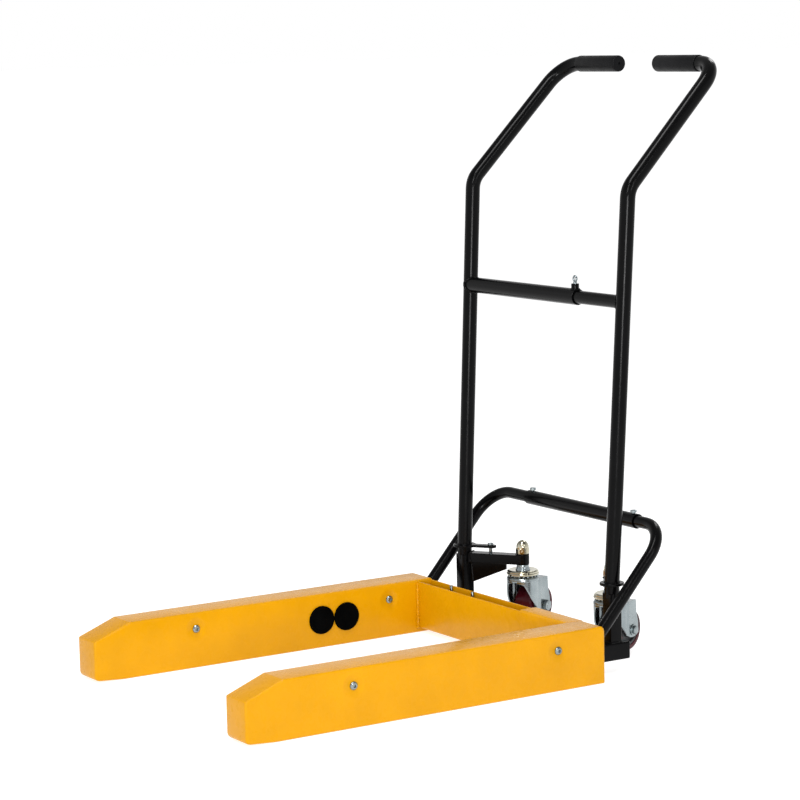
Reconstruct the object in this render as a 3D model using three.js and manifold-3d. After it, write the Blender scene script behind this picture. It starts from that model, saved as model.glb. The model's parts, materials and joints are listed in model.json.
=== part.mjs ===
// Hand-pushed fork trolley: a low U-shaped fork frame, a tubular push handle, a tubular loop and two swivel
// castors. Its width adjusts: the right half slides along X on the telescopic crosspiece, crossbar and loop.
// Millimetres, +Z up. The toes point along -Y, the handle stands at +Y, and the right half is on +X.
// The halves are built in a frame whose y starts at the toe tips; the whole is then moved to centre its box.

import * as THREE from 'three';
import { mergeVertices } from 'three/addons/utils/BufferGeometryUtils.js';
import Module from 'manifold-3d';

const wasm = await Module();
wasm.setup();

// Driving dimensions

const GAP = 0.3; // clearance between pieces that touch on the real trolley

const frame = {
  halfWidth: 300,
  length: 705,
  height: 100,
  forkWidth: 65,
  wall: 4,
  edgeRadius: 5,
  toeHeight: 73,
  toeLength: 70,
  rampLength: 55,
  rampHeight: 3.5,
  rearChamfer: 6,
  endPlate: 4,
};

const crosspiece = {
  front: 666,
  bottom: 5,
  wall: 3,
  sleeveMouth: 100, // where the right half's sleeve begins
  channelEnd: 185, // how far the left half's channel reaches into it
};

const stub = { x: 230, width: 30, bottom: 20, top: 51, rear: 800, wall: 3 };

const post = {
  x: 230,
  y: 773,
  radius: 13.4,
  wall: 2.5,
  spigotRadius: 10,
  spigotFoot: 60,
  leanStart: 149,
  leanSlope: 0.056, // backwards
  splaySlope: 0.0105, // outwards
  elbowHeight: 839,
  elbowRadius: 42,
  gripHeight: 1048,
  gripY: 1018,
  gripBendRadius: 51,
};

const socket = { side: 25, bore: 21, top: 138 };

const grip = { radius: 15, inner: 177, outer: 57, capThickness: 3 };

const collar = { bottom: 152, thickness: 5, radius: 21.5, tabLength: 63, tabWidth: 16, pinAt: 52 };

const pin = { radius: 3.2, foot: 134, headRadius: 5.5, headHeight: 3.5 };

const arm = {
  barTop: 142,
  barHeight: 18,
  barWidth: 24,
  bossRadius: 12.5,
  bossTop: 143.5,
  gussetFoot: 85,
  gussetReach: 83,
  gussetTip: 112.5,
  gussetThickness: 6,
};

const castor = {
  x: 136,
  y: 840,
  trail: 34,
  yaw: 21.5,
  axleHeight: 43,
  tyreRadius: 40,
  tyreWidth: 39,
  hubRadius: 28,
  axleRadius: 6,
  sleeveRadius: 8.5,
  legInside: 23,
  legThickness: 3.5,
  drumRadius: 30.5, // the legs wrap round the crown in front of this y, and run flat behind it
  drumEnd: 5,
  drumOpening: 8, // the legs start this far either side of the middle at the front
  legStep: 1.2, // the step lies this far inside the drum
  legFoot: 12.5,
  deckThickness: 5,
  raceRadius: 31,
  crownTop: 102,
  crownBottom: 93,
  cupBottom: 105.5,
  cupTop: 114.5,
  stemRadius: 7.7,
  stemTop: 158,
};

const crossbar = {
  height: 644.5,
  outerRadius: 14.4,
  boreRadius: 12,
  innerRadius: 11.7,
  innerBore: 9.2,
  mouth: 104,
  innerEnd: -66,
};

const clamp = { x: 95, bossRadius: 7, bossHeight: 9, screwRadius: 3.6, eyeRadius: 6.5, eyeWire: 1.9 };

const loop = {
  x: 269,
  y: 866,
  z: 247,
  footZ: 66,
  radius: 10.7,
  wall: 2,
  bendRadius: 60,
  tubeGap: 30, // half of the gap between the two tube ends inside the sleeve
};

const sleeve = { left: -148, right: 184, radius: 13.3, bore: 11.1, screwInset: 12 };

const forkBolt = { z: 71, y: [200, 606], shankRadius: 3.9, headRadius: 7.2, headHeight: 4 };

const pad = { z: 52, y: [459, 512], radius: 26, thickness: 3.5, stemRadius: 5 };

// Materials

function material(color, roughness, metalness) {
  return new THREE.MeshStandardMaterial({ color, roughness, metalness });
}

const yellowPaint = material(0xfdb000, 0.45, 0.1);
const blackPaint = material(0x141416, 0.3, 0.2);
const zincPlate = material(0xb9bdc2, 0.35, 0.9);
const chromePlate = material(0xd5d8dc, 0.15, 1);
const gripRubber = material(0x0c0c0d, 0.8, 0);
const padRubber = material(0x111112, 0.7, 0);
const castIron = material(0x3a3a3d, 0.6, 0.6);
const redTyre = material(0x541a1c, 0.45, 0);

// Joining and cutting

function toSolid(geometry) {
  const bare = geometry.clone();
  bare.deleteAttribute('normal');
  bare.deleteAttribute('uv');
  const merged = mergeVertices(bare, 1e-4);
  const vertProperties = Float32Array.from(merged.attributes.position.array);
  const triVerts = Uint32Array.from(merged.index.array);
  return new wasm.Manifold(new wasm.Mesh({ numProp: 3, vertProperties, triVerts }));
}

function toGeometry(solid) {
  const { vertProperties, triVerts } = solid.getMesh();
  const geometry = new THREE.BufferGeometry();
  geometry.setAttribute('position', new THREE.BufferAttribute(vertProperties, 3));
  geometry.setIndex(new THREE.BufferAttribute(triVerts, 1));
  geometry.computeVertexNormals();
  return geometry;
}

function join(...geometries) {
  return toGeometry(geometries.map(toSolid).reduce((whole, solid) => whole.add(solid)));
}

function cut(body, ...tools) {
  return toGeometry(tools.map(toSolid).reduce((left, tool) => left.subtract(tool), toSolid(body)));
}

function common(a, b) {
  return toGeometry(toSolid(a).intersect(toSolid(b)));
}

// Simple shapes

function block(x0, x1, y0, y1, z0, z1) {
  const box = new THREE.BoxGeometry(x1 - x0, y1 - y0, z1 - z0);
  return box.translate((x0 + x1) / 2, (y0 + y1) / 2, (z0 + z1) / 2);
}

// A cylinder that starts at a point and runs along one axis.
function rod(radius, length, axis, x, y, z, sides = 16) {
  const cylinder = new THREE.CylinderGeometry(radius, radius, length, sides).translate(0, length / 2, 0);
  if (axis === 'x') cylinder.rotateZ(-Math.PI / 2);
  if (axis === 'z') cylinder.rotateX(Math.PI / 2);
  return cylinder.translate(x, y, z);
}

// A solid of revolution about Z. The profile is [radius, z] pairs, counter-clockwise.
function turned(profile, sides = 20) {
  const points = profile.map(([radius, z]) => new THREE.Vector2(radius, z));
  return new THREE.LatheGeometry(points, sides).rotateX(Math.PI / 2);
}

// Rounded rectangle about the origin.
function roundedRectangle(width, height, radius) {
  const x = width / 2 - radius;
  const y = height / 2 - radius;
  const shape = new THREE.Shape();
  shape.absarc(x, y, radius, 0, Math.PI / 2);
  shape.absarc(-x, y, radius, Math.PI / 2, Math.PI);
  shape.absarc(-x, -y, radius, Math.PI, 1.5 * Math.PI);
  shape.absarc(x, -y, radius, 1.5 * Math.PI, 2 * Math.PI);
  shape.closePath();
  return shape;
}

function outline(points) {
  return new THREE.Shape(points.map(([x, y]) => new THREE.Vector2(x, y)));
}

function extrude(shape, depth, curveSegments = 4) {
  return new THREE.ExtrudeGeometry(shape, { depth, bevelEnabled: false, curveSegments });
}

// A profile drawn in (y, z) and given a thickness along X from x0.
function sideProfile(shape, x0, thickness, curveSegments) {
  return extrude(shape, thickness, curveSegments).rotateY(Math.PI / 2).rotateX(Math.PI / 2).translate(x0, 0, 0);
}

// Tubes bent from straight runs

function direction(from, to) {
  return to.clone().sub(from).normalize();
}

// Straight runs joined by circular bends, one radius for each bend, with stations only where the tube turns.
class BentPath extends THREE.Curve {
  constructor(corners, bendRadii, stepsPerQuarter = 6) {
    super();
    const last = corners.length - 1;
    this.stations = [{ point: corners[0], tangent: direction(corners[0], corners[1]) }];
    for (let i = 1; i < last; i += 1) {
      this.addBend(corners[i - 1], corners[i], corners[i + 1], bendRadii[i - 1], stepsPerQuarter);
    }
    this.stations.push({ point: corners[last], tangent: direction(corners[last - 1], corners[last]) });
  }

  addBend(before, corner, after, bendRadius, stepsPerQuarter) {
    const incoming = direction(before, corner);
    const outgoing = direction(corner, after);
    const angle = incoming.angleTo(outgoing);
    const axis = incoming.clone().cross(outgoing).normalize();
    const start = corner.clone().addScaledVector(incoming, -bendRadius * Math.tan(angle / 2));
    const centre = start.clone().addScaledVector(axis.clone().cross(incoming), bendRadius);
    const steps = Math.ceil((angle / (Math.PI / 2)) * stepsPerQuarter);
    for (let step = 0; step <= steps; step += 1) {
      const turn = (angle * step) / steps;
      const point = start.clone().sub(centre).applyAxisAngle(axis, turn).add(centre);
      this.stations.push({ point, tangent: incoming.clone().applyAxisAngle(axis, turn) });
    }
  }

  get steps() {
    return this.stations.length - 1;
  }

  getPointAt(u) {
    return this.stations[Math.round(u * this.steps)].point.clone();
  }

  getTangentAt(u) {
    return this.stations[Math.round(u * this.steps)].tangent.clone();
  }
}

function tubeAlong(path, radius, wall, sides = 14) {
  const shape = new THREE.Shape().absarc(0, 0, radius, 0, 2 * Math.PI);
  if (wall > 0) shape.holes.push(new THREE.Path().absarc(0, 0, radius - wall, 0, 2 * Math.PI, true));
  return new THREE.ExtrudeGeometry(shape, {
    steps: path.steps,
    extrudePath: path,
    bevelEnabled: false,
    curveSegments: sides / 2,
  });
}

function straightTube(x0, x1, y, z, radius, bore, sides = 20) {
  const length = x1 - x0;
  const tube = rod(radius, length, 'x', x0, y, z, sides);
  return cut(tube, rod(bore, length + 2, 'x', x0 - 1, y, z, sides));
}

// A point on a post's axis below its elbow.
function postAxis(z) {
  const rise = Math.max(0, z - post.leanStart);
  return new THREE.Vector3(post.x + rise * post.splaySlope, post.y + rise * post.leanSlope, z);
}

// Every piece is one named mesh

function piece(parent, name, geometry, finish) {
  const mesh = new THREE.Mesh(geometry, finish);
  mesh.name = name;
  parent.add(mesh);
}

// Fork frame. Everything below is drawn for the right half; the left half is its mirror image.

// Outline of a fork seen from the side, shrunk by an inset, with its rear end at a given y.
function forkOutline(inset, rear, rearChamfer) {
  const toeSlope = (frame.height - frame.toeHeight) / frame.toeLength;
  const chamferDrop = inset * (Math.hypot(1, toeSlope) - toeSlope);
  return outline([
    [inset, frame.rampHeight + inset],
    [frame.rampLength, inset],
    [rear, inset],
    [rear, frame.height - inset - rearChamfer],
    [rear - rearChamfer, frame.height - inset],
    [frame.toeLength + inset * toeSlope, frame.height - inset],
    [inset, frame.toeHeight - chamferDrop],
  ]);
}

function forkShell() {
  const { halfWidth, forkWidth, height, wall, edgeRadius, length, endPlate } = frame;
  const rear = length - endPlate - GAP;
  const centreX = halfWidth - forkWidth / 2;
  const section = extrude(roundedRectangle(forkWidth, height, edgeRadius), rear);
  section.rotateX(Math.PI / 2).translate(centreX, rear, height / 2);
  const outer = common(section, sideProfile(forkOutline(0, rear, 0), halfWidth - forkWidth - 1, forkWidth + 2));
  const hollow = extrude(roundedRectangle(forkWidth - 2 * wall, height - 2 * wall, edgeRadius - wall), rear + 10);
  hollow.rotateX(Math.PI / 2).translate(centreX, rear + 10, height / 2);
  const cavity = common(hollow, sideProfile(forkOutline(wall, rear + 5, 0), halfWidth - forkWidth, forkWidth));
  const holes = forkBolt.y.map((y) => (
    rod(forkBolt.shankRadius + GAP, forkWidth + 2, 'x', halfWidth - forkWidth - 1, y, forkBolt.z, 12)
  ));
  const stemHoles = pad.y.map((y) => (
    rod(pad.stemRadius + GAP, 10, 'x', halfWidth - forkWidth - 5, y, pad.z, 12)
  ));
  return cut(outer, cavity, ...holes, ...stemHoles);
}

function forkEndPlate() {
  const { halfWidth, forkWidth, height, edgeRadius, length, endPlate, rearChamfer } = frame;
  const section = extrude(roundedRectangle(forkWidth, height, edgeRadius), endPlate);
  section.rotateX(Math.PI / 2).translate(halfWidth - forkWidth / 2, length, height / 2);
  return common(
    section,
    sideProfile(forkOutline(0, length, rearChamfer), halfWidth - forkWidth - 1, forkWidth + 2),
  );
}

function addFork(half, side) {
  const outerFace = frame.halfWidth;
  const innerFace = frame.halfWidth - frame.forkWidth;
  piece(half, `${side}_fork`, forkShell(), yellowPaint);
  piece(half, `${side}_fork_end_plate`, forkEndPlate(), yellowPaint);
  const places = ['front', 'rear'];
  forkBolt.y.forEach((y, i) => {
    const { z, shankRadius, headRadius, headHeight } = forkBolt;
    const tip = innerFace - GAP - headHeight + 1.5;
    const head = turned([
      [0, 0], [headRadius, 0], [headRadius, headHeight * 0.45], [headRadius * 0.6, headHeight], [0, headHeight],
    ], 12);
    const boltHead = head.clone().rotateY(Math.PI / 2).translate(outerFace + GAP, y, z);
    const shank = rod(shankRadius, outerFace + 1 - tip, 'x', tip, y, z, 12);
    piece(half, `${side}_${places[i]}_fork_bolt`, join(boltHead, shank), zincPlate);
    const cap = head.clone().rotateY(-Math.PI / 2).translate(innerFace - GAP, y, z);
    const bore = rod(shankRadius + GAP, 2 * headHeight, 'x', tip - GAP, y, z, 12);
    piece(half, `${side}_${places[i]}_fork_cap_nut`, cut(cap, bore), zincPlate);
  });
  pad.y.forEach((y, i) => {
    const disc = turned([
      [0, 0], [pad.radius, 0], [pad.radius, pad.thickness - 1], [pad.radius - 1, pad.thickness],
      [0, pad.thickness],
    ], 24);
    disc.rotateY(-Math.PI / 2).translate(innerFace - GAP, y, pad.z);
    const stem = rod(pad.stemRadius, 8, 'x', innerFace - 1, y, pad.z, 12);
    piece(half, `${side}_${places[i]}_pad`, join(disc, stem), padRubber);
  });
}

// The left half carries the inner, open-topped channel of the crosspiece, and the right half its sleeve.

function crosspieceSleeve() {
  const { front, bottom, wall, sleeveMouth } = crosspiece;
  const innerFace = frame.halfWidth - frame.forkWidth - GAP;
  const outer = block(sleeveMouth, innerFace, front, frame.length, bottom, frame.height);
  const inside = block(
    sleeveMouth - 1, innerFace + 1, front + wall, frame.length - wall, bottom + wall, frame.height - wall,
  );
  return cut(outer, inside);
}

function crosspieceChannel() {
  const { front, bottom, wall, channelEnd } = crosspiece;
  const innerFace = frame.halfWidth - frame.forkWidth - GAP;
  const inset = wall + 0.4;
  const y0 = front + inset;
  const y1 = frame.length - inset;
  const z0 = bottom + inset;
  const z1 = frame.height - inset;
  const outer = block(-channelEnd, innerFace, y0, y1, z0, z1);
  const inside = block(-channelEnd - 1, innerFace + 1, y0 + wall, y1 - wall, z0 + wall, z1 + 1);
  return cut(outer, inside);
}

// Handle side: stub, socket, post, grip, collar and lock pin

function addStubAndSocket(half, side) {
  const x0 = stub.x - stub.width / 2;
  const x1 = stub.x + stub.width / 2;
  const y0 = frame.length + GAP;
  const tube = block(x0, x1, y0, stub.rear, stub.bottom, stub.top);
  const hollow = block(
    x0 + stub.wall, x1 - stub.wall, y0 - 1, stub.rear - stub.wall, stub.bottom + stub.wall, stub.top - stub.wall,
  );
  piece(half, `${side}_stub`, cut(tube, hollow), blackPaint);
  const reach = socket.side / 2;
  const bore = socket.bore / 2;
  const foot = stub.top + GAP;
  const upright = block(post.x - reach, post.x + reach, post.y - reach, post.y + reach, foot, socket.top);
  const inside = block(post.x - bore, post.x + bore, post.y - bore, post.y + bore, foot + 4, socket.top + 1);
  piece(half, `${side}_socket`, cut(upright, inside), blackPaint);
}

function postPath(inset) {
  const foot = new THREE.Vector3(post.x, post.y, socket.top + 6);
  const start = new THREE.Vector3(post.x, post.y, post.leanStart);
  const elbow = postAxis(post.elbowHeight);
  const shoulder = new THREE.Vector3(post.x, post.gripY, post.gripHeight);
  const end = new THREE.Vector3(grip.outer + inset, post.gripY, post.gripHeight);
  const bends = [post.elbowRadius, post.elbowRadius, post.gripBendRadius];
  return new BentPath([foot, start, elbow, shoulder, end], bends);
}

function addPost(half, side) {
  const { x, y, radius, wall, spigotRadius, spigotFoot } = post;
  const tube = tubeAlong(postPath(grip.capThickness + GAP), radius, wall);
  const shoulder = turned([
    [0, spigotFoot], [spigotRadius, spigotFoot], [spigotRadius, socket.top + GAP], [radius, socket.top + GAP],
    [radius, socket.top + 7], [0, socket.top + 7],
  ], 16);
  shoulder.translate(x, y, 0);
  piece(half, `${side}_post`, join(tube, shoulder), blackPaint);
  const gripBody = rod(grip.radius, grip.inner - grip.outer, 'x', grip.outer, post.gripY, post.gripHeight, 20);
  const gripBore = rod(
    radius + GAP, grip.inner, 'x', grip.outer + grip.capThickness, post.gripY, post.gripHeight, 20,
  );
  const airHole = rod(2.5, 10, 'x', grip.outer - 3, post.gripY, post.gripHeight, 12);
  piece(half, `${side}_grip`, cut(gripBody, gripBore, airHole), gripRubber);
}

// The castor arm's own frame: origin on the post's axis, +X along the arm towards the kingpin.
function armLength() {
  return Math.hypot(post.x - castor.x, castor.y - post.y);
}

function armGroup(half) {
  const group = new THREE.Group();
  group.position.set(post.x, post.y, 0);
  group.rotation.z = Math.atan2(castor.y - post.y, castor.x - post.x);
  half.add(group);
  return group;
}

function collarPlate() {
  const shape = new THREE.Shape();
  const side = collar.tabWidth / 2;
  const turn = Math.asin(side / collar.radius);
  shape.absarc(0, 0, collar.radius, turn, 2 * Math.PI - turn);
  shape.absarc(collar.tabLength - side, 0, side, -Math.PI / 2, Math.PI / 2);
  shape.closePath();
  shape.holes.push(new THREE.Path().absarc(0, 0, post.radius + 1, 0, 2 * Math.PI, true));
  shape.holes.push(new THREE.Path().absarc(collar.pinAt, 0, pin.radius + GAP, 0, 2 * Math.PI, true));
  return extrude(shape, collar.thickness, 8).translate(0, 0, collar.bottom);
}

function castorArm() {
  const { barTop, barHeight, barWidth, bossRadius, bossTop, gussetFoot, gussetReach, gussetTip } = arm;
  const length = armLength();
  const barBottom = barTop - barHeight;
  // The arm leaves the socket's corner at a slant, so the socket is cut out of it.
  const bar = block(8, length, -barWidth / 2, barWidth / 2, barBottom, barTop);
  const boss = rod(bossRadius, bossTop - barBottom, 'z', length, 0, barBottom, 24);
  const half = arm.gussetThickness / 2;
  const gusset = extrude(outline([
    [8, gussetFoot], [16, gussetFoot], [gussetReach, gussetTip], [gussetReach, barBottom + 1], [8, barBottom + 1],
  ]), arm.gussetThickness).rotateX(Math.PI / 2).translate(0, half, 0);
  const stemHole = rod(castor.stemRadius + GAP, 60, 'z', length, 0, barBottom - 10, 16);
  const pinHole = rod(pin.radius + GAP, 30, 'z', collar.pinAt, 0, barBottom - 8, 12);
  const room = socket.side + 2 * GAP;
  const socketRoom = block(-room / 2, room / 2, -room / 2, room / 2, 0, 200);
  socketRoom.rotateZ(-Math.atan2(castor.y - post.y, castor.x - post.x));
  const tubeRoom = rod(post.radius + 2 * GAP, 60, 'z', 0, 0, socket.top, 24);
  return cut(join(bar, boss, gusset), stemHole, pinHole, socketRoom, tubeRoom);
}

function lockPin() {
  const plateTop = collar.bottom + collar.thickness + GAP;
  return turned([
    [0, pin.foot], [pin.radius - 1, pin.foot], [pin.radius, pin.foot + 2], [pin.radius, plateTop],
    [pin.headRadius, plateTop], [pin.headRadius, plateTop + pin.headHeight - 1],
    [pin.headRadius - 1.5, plateTop + pin.headHeight], [0, plateTop + pin.headHeight],
  ], 12).translate(collar.pinAt, 0, 0);
}

function addArm(half, side) {
  const group = armGroup(half);
  piece(group, `${side}_castor_arm`, castorArm(), blackPaint);
  piece(group, `${side}_collar_plate`, collarPlate(), blackPaint);
  piece(group, `${side}_lock_pin`, lockPin(), zincPlate);
}

// Swivel castor. Its own frame: origin on the kingpin's axis at floor level, the wheel trailing along +Y.

function castorStem() {
  const { stemRadius, cupTop, stemTop, crownBottom } = castor;
  const washerTop = crownBottom - GAP;
  const collarRadius = 11;
  const collarTop = arm.barTop - arm.barHeight - GAP;
  return turned([
    [0, washerTop - 3], [15, washerTop - 3], [15, washerTop], [stemRadius, washerTop],
    [stemRadius, cupTop + GAP], [collarRadius, cupTop + GAP], [collarRadius, collarTop], [stemRadius, collarTop],
    [stemRadius, stemTop], [0, stemTop],
  ], 16);
}

function capNut() {
  const across = 12;
  const bottom = arm.bossTop + GAP;
  const hexagon = rod(across / Math.cos(Math.PI / 6), 12, 'z', 0, 0, bottom, 6);
  const dome = turned([
    [0, bottom + 8], [across - 0.8, bottom + 8], [across - 0.8, bottom + 17], [across * 0.78, bottom + 22],
    [across * 0.42, bottom + 25], [0, bottom + 26],
  ], 16);
  const bore = rod(castor.stemRadius + GAP, castor.stemTop - bottom + 1.5, 'z', 0, 0, bottom - 1, 16);
  return cut(join(hexagon, dome), bore);
}

function castorCup() {
  const { raceRadius, cupBottom, cupTop, stemRadius } = castor;
  const bore = stemRadius + GAP;
  return turned([
    [bore, cupBottom + 4], [raceRadius - 6, cupBottom + 4], [raceRadius - 4, cupBottom], [raceRadius, cupBottom],
    [raceRadius, cupTop - 4], [raceRadius - 4, cupTop], [bore, cupTop], [bore, cupBottom + 4],
  ], 24);
}

function ballCage() {
  const { raceRadius, cupBottom, crownTop } = castor;
  const outer = raceRadius - 7;
  const top = cupBottom + 4 - GAP;
  const bottom = crownTop + GAP;
  return turned([
    [outer - 7, bottom], [outer, bottom], [outer, top], [outer - 7, top], [outer - 7, bottom],
  ], 16);
}

// Outline of a castor leg seen from the side, from the crown down to its wide rounded foot.
function legOutline() {
  const { trail, axleHeight, crownBottom, drumRadius, legFoot } = castor;
  const bottom = axleHeight - legFoot;
  return outline([
    [-drumRadius, crownBottom + 4], [-drumRadius * 0.76, crownBottom - 4], [-18, 76], [-11.5, 62], [-3, 50],
    [5, 40], [trail - 14, bottom + 1.5], [trail - 5, bottom], [trail + 5, bottom],
    [trail + 13, axleHeight - 7], [trail + 17, axleHeight + 2], [trail + 17, axleHeight + 10],
    [trail + 11, axleHeight + 30], [trail + 11, crownBottom + 4],
  ]);
}

// One leg on +X: round under the crown, stepped in at the drum's end, then flat beside the wheel.
function forkLeg() {
  const { legInside, legThickness, drumRadius, drumEnd, drumOpening, crownBottom } = castor;
  const outside = legInside + legThickness;
  const stepEnd = drumEnd + legThickness;
  const low = castor.axleHeight - 2 * castor.legFoot;
  const high = crownBottom + 3;
  const reach = 2 * drumRadius;
  const drum = cut(
    rod(drumRadius, high - low, 'z', 0, 0, low, 40),
    rod(drumRadius - legThickness, high, 'z', 0, 0, low - 10, 40),
    block(-reach, reach, stepEnd, reach, low - 1, high + 1),
    block(-reach, drumOpening, -reach, reach, low - 1, high + 1),
  );
  const step = block(legInside, drumRadius - castor.legStep, drumEnd, stepEnd, low, high);
  const flat = block(legInside, outside, drumEnd, castor.trail + 20, low, high);
  return common(join(drum, step, flat), sideProfile(legOutline(), 0, reach));
}

function castorFork() {
  const { raceRadius, crownBottom, crownTop, stemRadius, deckThickness, trail, axleHeight } = castor;
  const bore = stemRadius + GAP;
  const outside = castor.legInside + castor.legThickness;
  const crown = turned([
    [bore, crownBottom], [raceRadius - 2, crownBottom], [raceRadius, crownBottom + 2], [raceRadius, crownTop],
    [bore, crownTop], [bore, crownBottom],
  ], 24);
  const deck = block(-outside, outside, 0, trail + 10, crownBottom, crownBottom + deckThickness);
  const leg = forkLeg();
  const otherLeg = toGeometry(toSolid(leg).mirror([1, 0, 0]));
  const bolt = rod(castor.axleRadius + GAP, 100, 'x', -50, trail, axleHeight, 16);
  const stemRoom = rod(bore, 40, 'z', 0, 0, crownBottom - 20, 24);
  return cut(join(crown, deck, leg, otherLeg), bolt, stemRoom);
}

// Solids of revolution about the wheel's axle, which runs along X.
function aboutAxle(geometry) {
  return geometry.rotateY(Math.PI / 2).translate(0, castor.trail, castor.axleHeight);
}

function tyre() {
  const { tyreRadius, tyreWidth, hubRadius } = castor;
  const half = tyreWidth / 2;
  const bore = hubRadius + GAP;
  return aboutAxle(turned([
    [bore, -half], [tyreRadius - 5, -half], [tyreRadius - 1.4, -half + 3.5], [tyreRadius, -half + 10],
    [tyreRadius, half - 10], [tyreRadius - 1.4, half - 3.5], [tyreRadius - 5, half], [bore, half], [bore, -half],
  ], 32));
}

function hub() {
  const { tyreWidth, hubRadius, sleeveRadius } = castor;
  const half = tyreWidth / 2 - 1;
  const bore = sleeveRadius + GAP;
  const boss = half + 2.5;
  return aboutAxle(turned([
    [bore, -boss], [14, -boss], [14, -half + 6], [hubRadius - 5, -half + 6], [hubRadius - 5, -half],
    [hubRadius, -half], [hubRadius, half], [hubRadius - 5, half], [hubRadius - 5, half - 6], [14, half - 6],
    [14, boss], [bore, boss], [bore, -boss],
  ], 20));
}

function axleSleeve() {
  const length = castor.legInside - GAP;
  return aboutAxle(turned([
    [castor.axleRadius + GAP, -length], [castor.sleeveRadius, -length], [castor.sleeveRadius, length],
    [castor.axleRadius + GAP, length], [castor.axleRadius + GAP, -length],
  ], 16));
}

function axleBolt() {
  const outside = castor.legInside + castor.legThickness + GAP;
  const head = rod(10.5, 6.5, 'z', 0, 0, outside, 6);
  const shank = rod(castor.axleRadius, 2 * outside + 8, 'z', 0, 0, -outside - 7, 20);
  return aboutAxle(join(head, shank));
}

function axleNut() {
  const outside = castor.legInside + castor.legThickness + GAP;
  const nut = rod(10.5, 8, 'z', 0, 0, -outside - 8, 6);
  return aboutAxle(cut(nut, rod(castor.axleRadius + GAP, 12, 'z', 0, 0, -outside - 10, 20)));
}

// The wheels trail to the same side on both halves, so the mirrored half turns the other way.
function addCastor(half, side, yawSign) {
  const fixed = new THREE.Group();
  fixed.position.set(castor.x, castor.y, 0);
  half.add(fixed);
  piece(fixed, `${side}_castor_stem`, castorStem(), zincPlate);
  piece(fixed, `${side}_castor_cap_nut`, capNut(), chromePlate);
  piece(fixed, `${side}_castor_cup`, castorCup(), chromePlate);
  const swivel = new THREE.Group();
  swivel.rotation.z = yawSign * THREE.MathUtils.degToRad(castor.yaw);
  fixed.add(swivel);
  piece(swivel, `${side}_castor_ball_cage`, ballCage(), zincPlate);
  piece(swivel, `${side}_castor_fork`, castorFork(), zincPlate);
  piece(swivel, `${side}_wheel_tyre`, tyre(), redTyre);
  piece(swivel, `${side}_wheel_hub`, hub(), castIron);
  piece(swivel, `${side}_axle_sleeve`, axleSleeve(), zincPlate);
  piece(swivel, `${side}_axle_bolt`, axleBolt(), zincPlate);
  piece(swivel, `${side}_axle_nut`, axleNut(), zincPlate);
}

// Lower loop

function addLoopTube(half, side) {
  const leg = new THREE.Vector3(loop.x, loop.y, loop.z);
  const foot = new THREE.Vector3(loop.x, frame.length + GAP, loop.footZ);
  const behind = foot.clone().addScaledVector(direction(leg, foot), 30);
  const end = new THREE.Vector3(loop.tubeGap, loop.y, loop.z);
  const path = new BentPath([behind, leg, end], [loop.bendRadius]);
  const tube = tubeAlong(path, loop.radius, loop.wall);
  const reach = 40;
  // The foot is mitred flat against the fork's end plate.
  const frontOfPlate = block(
    loop.x - reach, loop.x + reach, frame.length - 2 * reach, frame.length + GAP, -reach, loop.z,
  );
  piece(half, `${side}_loop_tube`, cut(tube, frontOfPlate), blackPaint);
}

function addHalf(side, mirror) {
  const half = new THREE.Group();
  half.scale.x = mirror;
  addFork(half, side);
  addStubAndSocket(half, side);
  addPost(half, side);
  addArm(half, side);
  addCastor(half, side, mirror);
  addLoopTube(half, side);
  return half;
}

// Telescopic members and their clamps, in true left-to-right coordinates

function crossbarOuterTube() {
  const { x, y } = postAxis(crossbar.height);
  const tube = rod(crossbar.outerRadius, crossbar.mouth + x, 'x', -x, y, crossbar.height, 24);
  const boss = rod(clamp.bossRadius, crossbar.outerRadius + clamp.bossHeight, 'z', clamp.x, y, crossbar.height, 20);
  const bore = rod(crossbar.boreRadius, 400, 'x', -x + 18, y, crossbar.height, 24);
  const screwHole = rod(clamp.screwRadius + GAP, 40, 'z', clamp.x, y, crossbar.height, 16);
  return cut(join(tube, boss), bore, screwHole, postRoom(-1));
}

function crossbarInnerTube() {
  const { x, y } = postAxis(crossbar.height);
  const tube = straightTube(
    crossbar.innerEnd, x, y, crossbar.height, crossbar.innerRadius, crossbar.innerBore, 24,
  );
  return cut(tube, postRoom(1));
}

// The room that a post takes, with clearance, where the crossbar meets it.
function postRoom(sign) {
  const reach = 60;
  const mirror = new THREE.Vector3(sign, 1, 1);
  const low = postAxis(crossbar.height - reach).multiply(mirror);
  const high = postAxis(crossbar.height + reach).multiply(mirror);
  return tubeAlong(new BentPath([low, high], []), post.radius + GAP, 0, 24);
}

function clampScrew() {
  const { y } = postAxis(crossbar.height);
  const foot = crossbar.height + crossbar.innerRadius + GAP;
  const neck = crossbar.height + crossbar.outerRadius + clamp.bossHeight + 2;
  const shank = rod(clamp.screwRadius, neck - foot + 2, 'z', clamp.x, y, foot, 16);
  const eye = new THREE.TorusGeometry(clamp.eyeRadius - clamp.eyeWire, clamp.eyeWire, 6, 14);
  eye.rotateX(Math.PI / 2).translate(clamp.x, y, neck + clamp.eyeRadius);
  return join(shank, eye);
}

function loopSleeve() {
  const tube = straightTube(sleeve.left, sleeve.right, loop.y, loop.z, sleeve.radius, sleeve.bore, 24);
  return cut(tube, ...setScrewPlaces().map((x) => rod(3 + GAP, 40, 'z', x, loop.y, loop.z, 12)));
}

function setScrewPlaces() {
  return [sleeve.left + sleeve.screwInset, sleeve.right - sleeve.screwInset];
}

function setScrew(x) {
  const foot = loop.z + loop.radius + GAP;
  const seat = loop.z + sleeve.radius + 1.2;
  const shank = rod(3, seat - foot + 1, 'z', x, loop.y, foot, 12);
  const head = rod(6, 4.5, 'z', x, loop.y, seat, 6);
  return join(shank, head);
}

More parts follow.
